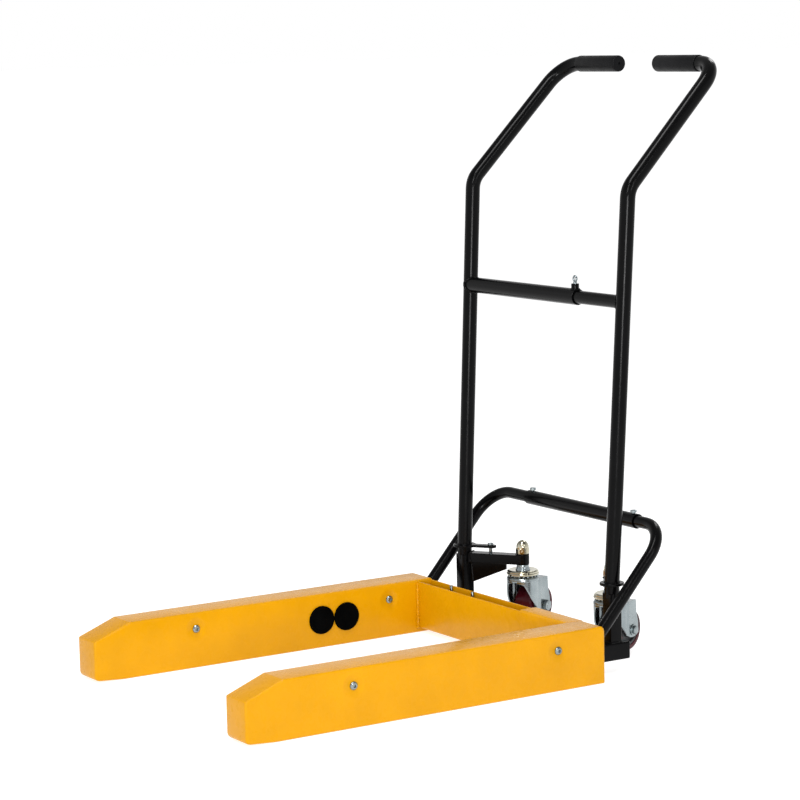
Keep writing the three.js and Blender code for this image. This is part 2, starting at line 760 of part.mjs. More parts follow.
const trolley = new THREE.Group();
const leftHalf = addHalf('left', -1);
const rightHalf = addHalf('right', 1);
piece(leftHalf, 'left_crosspiece_channel', crosspieceChannel(), yellowPaint);
piece(rightHalf, 'right_crosspiece_sleeve', crosspieceSleeve(), yellowPaint);
trolley.add(leftHalf, rightHalf);
piece(trolley, 'crossbar_outer_tube', crossbarOuterTube(), blackPaint);
piece(trolley, 'crossbar_inner_tube', crossbarInnerTube(), blackPaint);
piece(trolley, 'crossbar_clamp_screw', clampScrew(), zincPlate);
piece(trolley, 'loop_sleeve', loopSleeve(), blackPaint);
const [leftScrewX, rightScrewX] = setScrewPlaces();
piece(trolley, 'loop_left_set_screw', setScrew(leftScrewX), zincPlate);
piece(trolley, 'loop_right_set_screw', setScrew(rightScrewX), zincPlate);

// The origin is the middle of the footprint: halfway between the toe tips and the backs of the grips.
trolley.position.y = -(post.gripY + grip.radius) / 2;

export default trolley;
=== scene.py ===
import json
import math

import bmesh
import bpy
from mathutils import Matrix, Vector, noise


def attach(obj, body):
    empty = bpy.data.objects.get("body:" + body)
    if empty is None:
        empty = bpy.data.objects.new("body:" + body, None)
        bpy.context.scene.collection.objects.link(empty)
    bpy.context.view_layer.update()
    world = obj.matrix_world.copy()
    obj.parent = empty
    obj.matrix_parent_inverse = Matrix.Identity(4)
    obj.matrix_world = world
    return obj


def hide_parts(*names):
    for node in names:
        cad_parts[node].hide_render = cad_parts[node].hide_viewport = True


# The looks of the fork trolley. Shapes are drawn in millimetres for the right half, with y = 0 at the
# toe tips. The left half is the mirror image. make_piece() turns them into meshes in the record's frame,
# in metres.

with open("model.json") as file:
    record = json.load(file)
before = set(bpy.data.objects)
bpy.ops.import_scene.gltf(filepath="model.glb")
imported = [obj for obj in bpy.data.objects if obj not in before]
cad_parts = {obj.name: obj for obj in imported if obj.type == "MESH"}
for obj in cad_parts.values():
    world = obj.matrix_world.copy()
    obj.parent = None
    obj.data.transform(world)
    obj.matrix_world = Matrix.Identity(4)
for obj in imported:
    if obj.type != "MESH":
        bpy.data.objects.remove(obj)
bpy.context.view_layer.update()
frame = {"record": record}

MM = 0.001
GRIP_BACK = 1033
ORIGIN_Y = -GRIP_BACK / 2
SIDES = ("left", "right")
PLACES = ("front", "rear")
FULL_TURN = 2 * math.pi
QUARTER_TURN = math.pi / 2
GAP = 0.3  # air between solids that touch on the real trolley
NEAR_AXIS = 0.01  # radius at which the profile of a turned solid starts and ends

RECORD = frame["record"]
SLOT_OF = {row["node"]: row["material_slot"] for row in RECORD["subparts"]}
BODY_OF = {node: body for body, nodes in RECORD["behaviour"]["bodies"].items() for node in nodes}

# Sizes of the CAD part

FORK_INNER, FORK_OUTER, FORK_EDGE = 235, 300, 4
FORK_LENGTH, FORK_HEIGHT = 705, 100
TOE_LENGTH, TOE_HEIGHT, RAMP_LENGTH, RAMP_HEIGHT = 70, 73, 55, 3.5
BOLT_Z, BOLT_YS, BOLT_HEAD_RADIUS, BOLT_HEAD_HEIGHT = 71, (200, 606), 7.1, 3.9
PAD_Z, PAD_YS, PAD_RADIUS, PAD_THICK = 52, (459, 512), 26, 3.5
CROSS_FRONT, CROSS_BOTTOM, CROSS_WALL, CROSS_MOUTH = 666, 5, 3, 100
CHANNEL_INSET, CHANNEL_END, CHANNEL_SCREW_XS = 3.4, 185, (-158, -88)

POST_X, POST_Y, POST_RADIUS = 230, 773, 13.4
LEAN_START, LEAN_SLOPE, SPLAY_SLOPE = 149, 0.056, 0.0105
ELBOW_Z, GRIP_Z, GRIP_Y, ELBOW_BEND, GRIP_BEND = 839, 1048, 1018, 42, 51
GRIP_RADIUS, GRIP_INNER, GRIP_OUTER = 15, 177, 57
STUB_HALF, STUB_BOTTOM, STUB_TOP, STUB_REAR = 15, 20, 51, 800
SOCKET_HALF, SOCKET_WALL, SOCKET_TOP = 12.5, 2, 138
COLLAR_Z, COLLAR_THICK, COLLAR_RADIUS, COLLAR_REACH, TAB_HALF = 152, 5, 21.5, 63, 8
PIN_AT, PIN_FOOT, PIN_RADIUS, PIN_HEAD_RADIUS, PIN_HEAD_HEIGHT = 52, 134, 3.2, 5.5, 3.5
ARM_TOP, ARM_BOTTOM, ARM_WIDTH, BOSS_TOP, BOSS_RADIUS = 142, 124, 24, 143.5, 12.5
GUSSET_FOOT, GUSSET_REACH, GUSSET_TIP, GUSSET_HALF = 85, 83, 112.5, 3

CASTOR_X, CASTOR_Y, CASTOR_TRAIL, CASTOR_YAW = 136, 840, 34, 21.5
AXLE_Z, AXLE_RADIUS, AXLE_SLEEVE_RADIUS = 43, 6, 8.5
TYRE_RADIUS, TYRE_HALF, HUB_RADIUS = 40, 19.5, 28
LEG_INSIDE, LEG_THICK, LEG_FOOT = 23, 3.5, 12.5
DRUM_RADIUS, DRUM_END, RACE_RADIUS, RACE_BORE = 30.5, 5, 31, 8.2
CROWN_BOTTOM, CROWN_TOP, CUP_BOTTOM, CUP_TOP = 93, 102, 105.5, 114.5
STEM_RADIUS, STEM_TOP = 7.7, 158

BAR_Z, BAR_RADIUS, BAR_BORE, BAR_MOUTH = 644.5, 14.4, 12, 104
BAR_INNER_RADIUS, BAR_INNER_END = 11.7, -66
CLAMP_X, CLAMP_BOSS_RADIUS, CLAMP_BOSS_HEIGHT, CLAMP_SCREW_RADIUS = 95, 7, 9, 3.6
EYE_RADIUS, EYE_WIRE = 4.6, 1.9
LOOP_X, LOOP_Y, LOOP_Z, LOOP_FOOT_Z, LOOP_RADIUS, LOOP_BEND = 269, 866, 247, 66, 10.7, 60
SLEEVE_LEFT, SLEEVE_RIGHT, SLEEVE_RADIUS, SLEEVE_BORE = -148, 184, 13.3, 11.1
SET_SCREW_INSET = 12

# Studio

CAMERA_PLACE = (3.9715, -2.5399, 1.1130)
CAMERA_AZIMUTH, CAMERA_ELEVATION, CAMERA_ROLL = 57.668, 7.683, -1.239
CAMERA_LENS, CAMERA_SENSOR, CAMERA_REACH = 122.58, 36, 400
LIGHT_AIM = (0, 0, 0.45)
FLOOR_REACH, FLOOR_LEVEL = 90, -0.0004

# Name, azimuth, elevation, distance, width, height and watts of each lamp
LIGHTS = (
    ("key", 44, 36, 3.3, 0.3, 1.4, 26),
    ("tall", 58, 3, 5.4, 1.4, 0.9, 95),
    ("overhead", 40, 74, 2.6, 0.5, 1.6, 40),
    ("side", 96, 26, 3.2, 0.2, 1.2, 9),
    ("back", 205, 40, 3.2, 0.6, 1.2, 14),
)


# Outlines, as lists of (a, b)


def arc(a, b, radius, start, end, steps):
    """Points round a circle, from one angle to another in degrees."""
    turns = [math.radians(start + (end - start) * i / steps) for i in range(steps + 1)]
    return [(a + radius * math.cos(t), b + radius * math.sin(t)) for t in turns]


def softened(corners, steps=4, closed=True):
    """An outline whose corners (a, b, radius) are rounded. A radius of 0 keeps a corner sharp."""
    points = []
    count = len(corners)
    for i, (a, b, radius) in enumerate(corners):
        if radius == 0 or (not closed and i in (0, count - 1)):
            points.append((a, b))
            continue
        corner = Vector((a, b))
        before = (Vector(corners[i - 1][:2]) - corner).normalized()
        after = (Vector(corners[(i + 1) % count][:2]) - corner).normalized()
        half = math.acos(max(-1, min(1, before.dot(after)))) / 2
        reach = radius / math.tan(half)
        centre = corner + (before + after).normalized() * (radius / math.sin(half))
        first = corner + before * reach - centre
        last = corner + after * reach - centre
        turn = first.angle_signed(last)
        for step in range(steps + 1):
            angle = turn * step / steps
            spun = Matrix.Rotation(-angle, 2) @ first
            points.append(tuple(centre + spun))
    return points


def rounded_rectangle(a0, a1, b0, b1, radius):
    return softened([(a0, b0, radius), (a1, b0, radius), (a1, b1, radius), (a0, b1, radius)])


def polygon(radius, sides):
    return [
        (radius * math.cos(FULL_TURN * i / sides), radius * math.sin(FULL_TURN * i / sides))
        for i in range(sides)
    ]


# Shapes, as (points, faces)


def loft(rings, closed_ends=True):
    """A skin through rings that have the same number of points each."""
    size = len(rings[0])
    points = [Vector(p) for ring in rings for p in ring]
    faces = []
    for i in range(len(rings) - 1):
        for j in range(size):
            k = (j + 1) % size
            faces.append((i * size + j, i * size + k, (i + 1) * size + k, (i + 1) * size + j))
    if closed_ends:
        faces.append(tuple(reversed(range(size))))
        faces.append(tuple(range((len(rings) - 1) * size, len(rings) * size)))
    return points, faces


def turned(profile, sides=40, closed=False):
    """A solid of revolution about Z. The profile is (radius, z) pairs. One that isn't closed starts and
    ends near the axis.
    """
    rings = []
    for radius, z in profile:
        rings.append([
            (radius * math.cos(FULL_TURN * i / sides), radius * math.sin(FULL_TURN * i / sides), z)
            for i in range(sides)
        ])
    if closed:
        rings.append(rings[0])
    return loft(rings, not closed)


def prism(outline, start, end):
    """An outline in (x, y) carried from one z to another."""
    return loft([[(a, b, start) for a, b in outline], [(a, b, end) for a, b in outline]])


def moved(shape, matrix):
    points, faces = shape
    return [matrix @ p for p in points], faces


def shifted(shape, x, y, z):
    return moved(shape, Matrix.Translation((x, y, z)))


def joined(*shapes):
    points, faces = [], []
    for more_points, more_faces in shapes:
        base = len(points)
        points.extend(more_points)
        faces.extend(tuple(base + i for i in face) for face in more_faces)
    return points, faces


def box(x0, x1, y0, y1, z0, z1):
    return prism([(x0, y0), (x1, y0), (x1, y1), (x0, y1)], z0, z1)


def bent_path(corners, bends=()):
    """Places and directions along straight runs that are joined by circular bends, one radius for each."""
    steps_per_quarter = 14
    corners = [Vector(c) for c in corners]
    places = [(corners[0], (corners[1] - corners[0]).normalized())]
    for before, corner, after, bend in zip(corners, corners[1:], corners[2:], bends):
        incoming = (corner - before).normalized()
        outgoing = (after - corner).normalized()
        angle = incoming.angle(outgoing)
        axis = incoming.cross(outgoing).normalized()
        start = corner - incoming * bend * math.tan(angle / 2)
        centre = start + axis.cross(incoming) * bend
        count = max(2, math.ceil(angle / QUARTER_TURN * steps_per_quarter))
        for step in range(count + 1):
            spin = Matrix.Rotation(angle * step / count, 3, axis)
            places.append((centre + spin @ (start - centre), spin @ incoming))
    places.append((corners[-1], (corners[-1] - corners[-2]).normalized()))
    return places


def swept(stations, sides=28):
    """A round skin through (place, direction, radius) stations."""
    direction = stations[0][1]
    across = direction.orthogonal().normalized()
    rings = []
    for place, heading, radius in stations:
        across = direction.rotation_difference(heading) @ across
        direction = heading
        up = heading.cross(across)
        rings.append([place + (across * c + up * s) * radius for c, s in polygon(1, sides)])
    return loft(rings)


def tube(path, radius, sides=28):
    return swept([(place, heading, radius) for place, heading in path], sides)


def open_ended(path, radius, bore, sides):
    """A tube whose first end is open: its rim is slightly rounded and its bore is a short way deep."""
    lip, depth = 0.5, 25
    place, heading = path[0]
    stations = [
        (place + heading * depth, heading, bore),
        (place + heading * lip, heading, bore),
        (place, heading, bore + lip),
        (place, heading, radius - lip),
        (place + heading * lip, heading, radius),
    ]
    return swept(stations + [(p, h, radius) for p, h in path[1:]], sides)


def bead(points, radius, closed=False):
    """A rippled weld bead along a line of points."""
    pitch, sides = 3.0, 8
    points = [Vector(p) for p in points]
    if closed:
        points.append(points[0])
    ripple = 0.16
    spacing = pitch / 4
    stations = []
    travelled = 0
    for start, end in zip(points, points[1:]):
        run = end - start
        count = max(1, round(run.length / spacing))
        for step in range(count):
            place = start + run * step / count
            along = travelled + run.length * step / count
            wave = math.sin(FULL_TURN * along / pitch) * ripple + noise.noise(place * 0.3) * ripple
            stations.append((place, run.normalized(), radius * (1 + wave)))
        travelled += run.length
    stations.append((points[-1], (points[-1] - points[-2]).normalized(), radius))
    return swept(stations, sides)


# Materials


def add_noise(nodes, links, where, scale, detail=2.0):
    texture = nodes.new("ShaderNodeTexNoise")
    texture.inputs["Scale"].default_value = scale
    texture.inputs["Detail"].default_value = detail
    links.new(where.outputs["Object"], texture.inputs["Vector"])
    return texture.outputs["Fac"]


def remap(nodes, links, value, low, high, start=0.3, end=0.7):
    spread = nodes.new("ShaderNodeMapRange")
    spread.inputs["From Min"].default_value = start
    spread.inputs["From Max"].default_value = end
    spread.inputs["To Min"].default_value = low
    spread.inputs["To Max"].default_value = high
    links.new(value, spread.inputs["Value"])
    return spread.outputs["Result"]


def add_bump(nodes, links, height, distance, normal=None):
    bump = nodes.new("ShaderNodeBump")
    bump.inputs["Strength"].default_value = 1
    bump.inputs["Distance"].default_value = distance
    links.new(height, bump.inputs["Height"])
    if normal is not None:
        links.new(normal, bump.inputs["Normal"])
    return bump.outputs["Normal"]


def dents(nodes, links, where):
    """Height of the sheet where each through bolt has drawn it in, from 0 at the bolt to 1 around it."""
    flat_radius, dent_radius = 0.004, 0.022
    total = None
    for y in BOLT_YS:
        flatten = nodes.new("ShaderNodeVectorMath")
        flatten.operation = "MULTIPLY"
        flatten.inputs[1].default_value = (0, 1, 1)
        links.new(where.outputs["Object"], flatten.inputs[0])
        distance = nodes.new("ShaderNodeVectorMath")
        distance.operation = "DISTANCE"
        distance.inputs[1].default_value = (0, (y + ORIGIN_Y) * MM, BOLT_Z * MM)
        links.new(flatten.outputs["Vector"], distance.inputs[0])
        height = nodes.new("ShaderNodeMapRange")
        height.interpolation_type = "SMOOTHSTEP"
        height.inputs["From Min"].default_value = flat_radius
        height.inputs["From Max"].default_value = dent_radius
        links.new(distance.outputs["Value"], height.inputs["Value"])
        if total is None:
            total = height.outputs["Result"]
        else:
            both = nodes.new("ShaderNodeMath")
            both.operation = "MULTIPLY"
            links.new(total, both.inputs[0])
            links.new(height.outputs["Result"], both.inputs[1])
            total = both.outputs["Value"]
    return total


def surface(name, dark, light, roughness, metallic=0.0, specular=0.5, cloud=14.0, grain=420.0,
            relief=0.00005, wave=0.0, dented=False):
    """A finish whose colour, gloss and relief all vary a little over the surface.

    The colour runs from dark to light in clouds, and the gloss between two roughness values in smaller
    patches. The cloud and grain are noise scales, and the relief and wave are heights in metres.
    """
    patch_ratio, wave_scale, dent_depth = 5, 9.0, 0.0035
    material = bpy.data.materials.new(name)
    material.use_nodes = True
    nodes, links = material.node_tree.nodes, material.node_tree.links
    shader = nodes["Principled BSDF"]
    where = nodes.new("ShaderNodeTexCoord")
    clouds = add_noise(nodes, links, where, cloud, 4.0)
    blend = nodes.new("ShaderNodeMix")
    blend.data_type = "RGBA"
    blend.inputs[6].default_value = (*dark, 1)
    blend.inputs[7].default_value = (*light, 1)
    links.new(remap(nodes, links, clouds, 0, 1), blend.inputs[0])
    links.new(blend.outputs[2], shader.inputs["Base Color"])
    patches = add_noise(nodes, links, where, cloud * patch_ratio)
    links.new(remap(nodes, links, patches, *roughness), shader.inputs["Roughness"])
    normal = add_bump(nodes, links, add_noise(nodes, links, where, grain), relief)
    if wave:
        normal = add_bump(nodes, links, add_noise(nodes, links, where, wave_scale), wave, normal)
    if dented:
        normal = add_bump(nodes, links, dents(nodes, links, where), dent_depth, normal)
    links.new(normal, shader.inputs["Normal"])
    shader.inputs["Metallic"].default_value = metallic
    shader.inputs["Specular IOR Level"].default_value = specular
    return material


FINISH = {
    "yellow_paint": surface(
        "yellow powder coat", (0.58, 0.262, 0.0), (0.64, 0.292, 0.0), (0.24, 0.32),
        specular=0.14, relief=0.00003, wave=0.0009, dented=True,
    ),
    "black_paint": surface(
        "black gloss paint", (0.0008, 0.0008, 0.001), (0.002, 0.002, 0.0022), (0.15, 0.22),
        specular=0.09, relief=0.00003,
    ),
    "zinc_plate": surface(
        "zinc plate", (0.2, 0.235, 0.25), (0.32, 0.36, 0.37), (0.22, 0.3),
        metallic=1.0, cloud=16.0, grain=900.0, relief=0.00002,
    ),
    "chrome_plate": surface(
        "bright chromate", (0.38, 0.35, 0.25), (0.62, 0.6, 0.5), (0.08, 0.18),
        metallic=1.0, cloud=30.0, grain=700.0, relief=0.00002,
    ),
    "grip_rubber": surface(
        "grip rubber", (0.002, 0.002, 0.0025), (0.005, 0.005, 0.0055), (0.35, 0.5),
        specular=0.1, grain=1600.0, relief=0.00005,
    ),
    "pad_rubber": surface(
        "pad rubber", (0.001, 0.001, 0.001), (0.003, 0.003, 0.003), (0.6, 0.8),
        specular=0.0, grain=1600.0, relief=0.00008,
    ),
    "hub_iron": surface(
        "cast hub", (0.02, 0.02, 0.022), (0.06, 0.06, 0.065), (0.45, 0.65),
        metallic=0.6, grain=900.0, relief=0.0002,
    ),
    "red_tyre": surface(
        "maroon tread", (0.03, 0.002, 0.005), (0.07, 0.004, 0.009), (0.16, 0.28),
        specular=0.2, relief=0.00003,
    ),
}


# Pieces


def make_piece(name, shape, slot, body, mirrored, edge=0, smooth_angle=32):
    """Makes the mesh of one piece, in metres. Edges sharper than smooth_angle stay sharp, and a bevel as
    wide as edge rounds them.
    """
    points, faces = shape
    sign = -1 if mirrored else 1
    mesh = bpy.data.meshes.new(name)
    mesh.from_pydata(
        [(sign * p.x * MM, (p.y + ORIGIN_Y) * MM, p.z * MM) for p in points],
        [],
        [tuple(reversed(face)) for face in faces] if mirrored else faces,
    )
    solid = bmesh.new()
    solid.from_mesh(mesh)
    bmesh.ops.recalc_face_normals(solid, faces=solid.faces)
    solid.to_mesh(mesh)
    solid.free()
    mesh.materials.append(FINISH[slot])
    mesh.shade_smooth()
    mesh.set_sharp_from_angle(angle=math.radians(smooth_angle))
    piece = bpy.data.objects.new(name, mesh)
    bpy.context.scene.collection.objects.link(piece)
    if edge:
        bevel = piece.modifiers.new("rounded edges", "BEVEL")
        bevel.width = edge * MM
        bevel.segments = 3
        bevel.limit_method = "ANGLE"
        bevel.angle_limit = math.radians(smooth_angle)
        bevel.harden_normals = True
    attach(piece, body)
    return piece


def place(nodes, shape, edge=0):
    """Makes the piece that stands for one or more CAD nodes of one body. Left nodes get the mirror image."""
    first = nodes[0]
    mirrored = first.startswith("left_")
    piece = make_piece(f"{first}_detail", shape, SLOT_OF[first], BODY_OF[first], mirrored, edge)
    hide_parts(*nodes)


def place_extra(name, shape, slot, body, mirrored=False):
    """Makes a piece that CAD has no node for, such as a weld."""
    make_piece(name, shape, slot, body, mirrored, smooth_angle=40)


# Fork frame


def fork_body():
    """The box section with its chamfered toe. Its long edges are rounded by rings that are drawn in."""
    outline = softened([
        (0, RAMP_HEIGHT, 9), (RAMP_LENGTH, 0, 20), (FORK_LENGTH, 0, 1.5), (FORK_LENGTH, FORK_HEIGHT, 8),
        (TOE_LENGTH, FORK_HEIGHT, 3), (0, TOE_HEIGHT, 3),
    ], 3)
    steps = 5
    rings = []
    for side_x, sign in ((FORK_INNER, 1), (FORK_OUTER, -1)):
        ring_set = []
        for step in range(steps + 1):
            angle = QUARTER_TURN * step / steps
            inset = FORK_EDGE * (1 - math.sin(angle))
            ring_set.append((side_x + sign * FORK_EDGE * (1 - math.cos(angle)), inset))
        rings.extend(ring_set if sign > 0 else reversed(ring_set))
    centre = Vector((FORK_LENGTH / 2, FORK_HEIGHT / 2))
    return loft([[(x, *shrunk(p, centre, inset)) for p in outline] for x, inset in rings])


def shrunk(point, centre, inset):
    """A point of the fork's outline drawn in from the outline's box, to round the long edges."""
    share = min(1, abs(point[0] - centre.x) / centre.x)
    y = point[0] + (inset if point[0] < centre.x else -inset) * share
    z = centre.y + (point[1] - centre.y) * (centre.y - inset) / centre.y
    return y, z


def bolt_head(y, x, direction):
    """A button head with a socket in its crown. A direction of 1 faces outward, and -1 faces the middle."""
    socket_floor, socket_radius, socket_mouth = 1.2, 2.4, 2.7
    crown_radius, rim_height = 4.8, 1.4
    head = turned(softened([
        (NEAR_AXIS, socket_floor, 0), (socket_radius, socket_floor, 0),
        (socket_mouth, BOLT_HEAD_HEIGHT, 0.3), (crown_radius, BOLT_HEAD_HEIGHT, 0.8),
        (BOLT_HEAD_RADIUS, rim_height, 1.2), (BOLT_HEAD_RADIUS, 0, 0), (NEAR_AXIS, 0, 0),
    ], 3, closed=False))
    return shifted(moved(head, Matrix.Rotation(QUARTER_TURN * direction, 4, "Y")), x, y, BOLT_Z)


def pad_disc(y):
    """A rubber disc with a raised rim and a low button in its middle."""
    dish, button = 2.0, 2.6
    profile = softened([
        (NEAR_AXIS, button, 0), (7, button, 0.5), (8, dish, 0.5), (19, dish, 0.5), (20, PAD_THICK, 0.6),
        (PAD_RADIUS, PAD_THICK, 1.4), (PAD_RADIUS, 0, 0), (NEAR_AXIS, 0, 0),
    ], 3, closed=False)
    disc = moved(turned(profile, 56), Matrix.Rotation(-QUARTER_TURN, 4, "Y"))
    return shifted(disc, FORK_INNER - GAP, y, PAD_Z)


def build_fork(side):
    place([f"{side}_fork", f"{side}_fork_end_plate"], fork_body())
    for where, y in zip(PLACES, BOLT_YS):
        place([f"{side}_{where}_fork_bolt"], bolt_head(y, FORK_OUTER + GAP, 1))
        place([f"{side}_{where}_fork_cap_nut"], bolt_head(y, FORK_INNER - GAP, -1))
    for where, y in zip(PLACES, PAD_YS):
        place([f"{side}_{where}_pad"], pad_disc(y))


def section_along_x(outline, x0, x1):
    return loft([[(x0, a, b) for a, b in outline], [(x1, a, b) for a, b in outline]])


def crosspiece_sleeve():
    """The outer box, with an open mouth that the channel runs out of."""
    def section(x, inset, radius):
        outline = rounded_rectangle(CROSS_FRONT + inset, FORK_LENGTH - inset, CROSS_BOTTOM + inset,
                                    FORK_HEIGHT - inset, radius)
        return [(x, a, b) for a, b in outline]

    lip, depth = 0.5, 30
    return loft([
        section(CROSS_MOUTH + depth, CROSS_WALL, 1.5), section(CROSS_MOUTH + lip, CROSS_WALL, 1.5),
        section(CROSS_MOUTH, CROSS_WALL - lip, 2), section(CROSS_MOUTH, lip, 4),
        section(CROSS_MOUTH + lip, 0, 4.5), section(FORK_INNER + 2, 0, 4.5),
    ])


def crosspiece_channel():
    y0, y1 = CROSS_FRONT + CHANNEL_INSET, FORK_LENGTH - CHANNEL_INSET
    z0, z1 = CROSS_BOTTOM + CHANNEL_INSET, FORK_HEIGHT - CHANNEL_INSET
    wall, rim = CROSS_WALL, 0.9
    outline = softened([
        (y0, z0, 5), (y1, z0, 5), (y1, z1, rim), (y1 - wall, z1, rim), (y1 - wall, z0 + wall, 2),
        (y0 + wall, z0 + wall, 2), (y0 + wall, z1, rim), (y0, z1, rim),
    ], 3)
    return section_along_x(outline, -CHANNEL_END, FORK_INNER + 2)


def channel_screws():
    """Two screws that stand in the channel, in true left-to-right coordinates."""
    radius, foot, sides = 3, 20, 20
    y = FORK_LENGTH - CHANNEL_INSET - CROSS_WALL - 5
    top = FORK_HEIGHT - CHANNEL_INSET + 1.5
    profile = softened([
        (NEAR_AXIS, top, 0), (radius, top, 0.8), (radius, foot, 0), (NEAR_AXIS, foot, 0),
    ], 3, closed=False)
    screw = turned(profile, sides)
    return joined(*(shifted(screw, x, y, 0) for x in CHANNEL_SCREW_XS))


# Handle side


def post_axis(z):
    """A point on the right post's axis below its elbow."""
    rise = max(0, z - LEAN_START)
    return Vector((POST_X + rise * SPLAY_SLOPE, POST_Y + rise * LEAN_SLOPE, z))


def post_path():
    return bent_path([
        (POST_X, POST_Y, SOCKET_TOP - 8), (POST_X, POST_Y, LEAN_START), post_axis(ELBOW_Z),
        (POST_X, GRIP_Y, GRIP_Z), (GRIP_OUTER + 6, GRIP_Y, GRIP_Z),
    ], (ELBOW_BEND, ELBOW_BEND, GRIP_BEND))


def socket_tube():
    """The upright square tube that holds the post, with an open top."""
    wall, lip, depth, corner = SOCKET_WALL, 0.5, 12, 3

    def ring(inset, z, radius):
        reach = SOCKET_HALF - inset
        outline = rounded_rectangle(POST_X - reach, POST_X + reach, POST_Y - reach, POST_Y + reach, radius)
        return [(a, b, z) for a, b in outline]

    inner_corner = corner - wall + 0.5
    return loft([
        ring(0, STUB_TOP, corner), ring(0, SOCKET_TOP - lip, corner), ring(lip, SOCKET_TOP, corner - lip),
        ring(wall, SOCKET_TOP, inner_corner), ring(wall, SOCKET_TOP - depth, inner_corner),
    ])


def stub_tube():
    outline = rounded_rectangle(POST_X - STUB_HALF, POST_X + STUB_HALF, STUB_BOTTOM, STUB_TOP, 3.5)
    return loft([[(a, y, b) for a, b in outline] for y in (STUB_REAR, FORK_LENGTH - 1)])


def grip_shape():
    """A rubber grip with a small hole in its closed end and a thin lip at the other."""
    length = GRIP_INNER - GRIP_OUTER
    hole_radius, hole_depth, lip_depth = 2.4, 3, 6
    profile = softened([
        (NEAR_AXIS, hole_depth, 0), (hole_radius, hole_depth, 0.3), (hole_radius + 0.1, 0, 0.6),
        (GRIP_RADIUS, 0, 3.2), (GRIP_RADIUS, length, 1.6), (POST_RADIUS + 0.4, length, 0.6),
        (POST_RADIUS + 0.2, length - lip_depth, 0), (NEAR_AXIS, length - lip_depth, 0),
    ], 5, closed=False)
    along_x = moved(turned(profile, 48), Matrix.Rotation(QUARTER_TURN, 4, "Y"))
    return shifted(along_x, GRIP_OUTER, GRIP_Y, GRIP_Z)


# The castor arm's own frame: its origin is on the post's axis, and its X runs towards the castor's axis.
ARM_ANGLE = math.atan2(CASTOR_Y - POST_Y, CASTOR_X - POST_X)
ARM_LENGTH = math.hypot(CASTOR_Y - POST_Y, CASTOR_X - POST_X)
ARM_FRAME = Matrix.Translation((POST_X, POST_Y, 0)) @ Matrix.Rotation(ARM_ANGLE, 4, "Z")


def collar_plate():
    """An eye round the post with a round-ended tab over the castor arm."""
    turn = math.degrees(math.asin(TAB_HALF / COLLAR_RADIUS))
    eye = arc(0, 0, COLLAR_RADIUS, turn, 360 - turn, 40)
    tab_end = arc(COLLAR_REACH - TAB_HALF, 0, TAB_HALF, -90, 90, 14)
    outline = eye + tab_end
    return moved(prism(outline, COLLAR_Z, COLLAR_Z + COLLAR_THICK), ARM_FRAME)


def castor_arm():
    half = ARM_WIDTH / 2
    bar_start, gusset_start, gusset_foot_length = 11, 12, 4
    gusset_top = ARM_BOTTOM + 1
    bar = box(bar_start, ARM_LENGTH, -half, half, ARM_BOTTOM, ARM_TOP)
    boss = shifted(prism(polygon(BOSS_RADIUS, 40), ARM_BOTTOM, BOSS_TOP), ARM_LENGTH, 0, 0)
    gusset = prism([
        (gusset_start, GUSSET_FOOT), (gusset_start + gusset_foot_length, GUSSET_FOOT),
        (GUSSET_REACH, GUSSET_TIP), (GUSSET_REACH, gusset_top), (gusset_start, gusset_top),
    ], -GUSSET_HALF, GUSSET_HALF)
    upright = Matrix.Rotation(QUARTER_TURN, 4, "X")
    return moved(joined(bar, boss, moved(gusset, upright)), ARM_FRAME)


def lock_pin():
    seat = COLLAR_Z + COLLAR_THICK + GAP
    top = seat + PIN_HEAD_HEIGHT
    profile = softened([
        (NEAR_AXIS, top, 0), (PIN_HEAD_RADIUS, top, 1.2), (PIN_HEAD_RADIUS, seat, 0.3), (PIN_RADIUS, seat, 0),
        (PIN_RADIUS, PIN_FOOT, 1), (NEAR_AXIS, PIN_FOOT, 0),
    ], 3, closed=False)
    return moved(shifted(turned(profile, 28), PIN_AT, 0, 0), ARM_FRAME)


def loop_path():
    leg = Vector((LOOP_X, LOOP_Y, LOOP_Z))
    foot = Vector((LOOP_X, FORK_LENGTH - 1, LOOP_FOOT_Z))
    inner_end = 30
    return bent_path([foot, leg, (inner_end, LOOP_Y, LOOP_Z)], (LOOP_BEND,))


# Welds


def saddle(sign, radius):
    """The line where a crossbar tube of a given radius meets the post on one side."""
    line = []
    count = 48
    for i in range(count):
        turn = FULL_TURN * i / count
        z = BAR_Z + radius * math.sin(turn)
        y = post_axis(BAR_Z).y + radius * math.cos(turn)
        axis = post_axis(z)
        depth = math.sqrt(max(0, POST_RADIUS ** 2 - (y - axis.y) ** 2))
        line.append((sign * (axis.x - depth), y, z))
    return line


def loop_foot_line():
    """The oval where the slanted leg of the loop meets the back of the fork."""
    slant = math.atan2(LOOP_Z - LOOP_FOOT_Z, LOOP_Y - FORK_LENGTH)
    tall = LOOP_RADIUS / math.sin(QUARTER_TURN - slant)
    y = FORK_LENGTH + 0.6
    return [(LOOP_X + LOOP_RADIUS * c, y, LOOP_FOOT_Z + tall * s) for c, s in polygon(1, 40)]


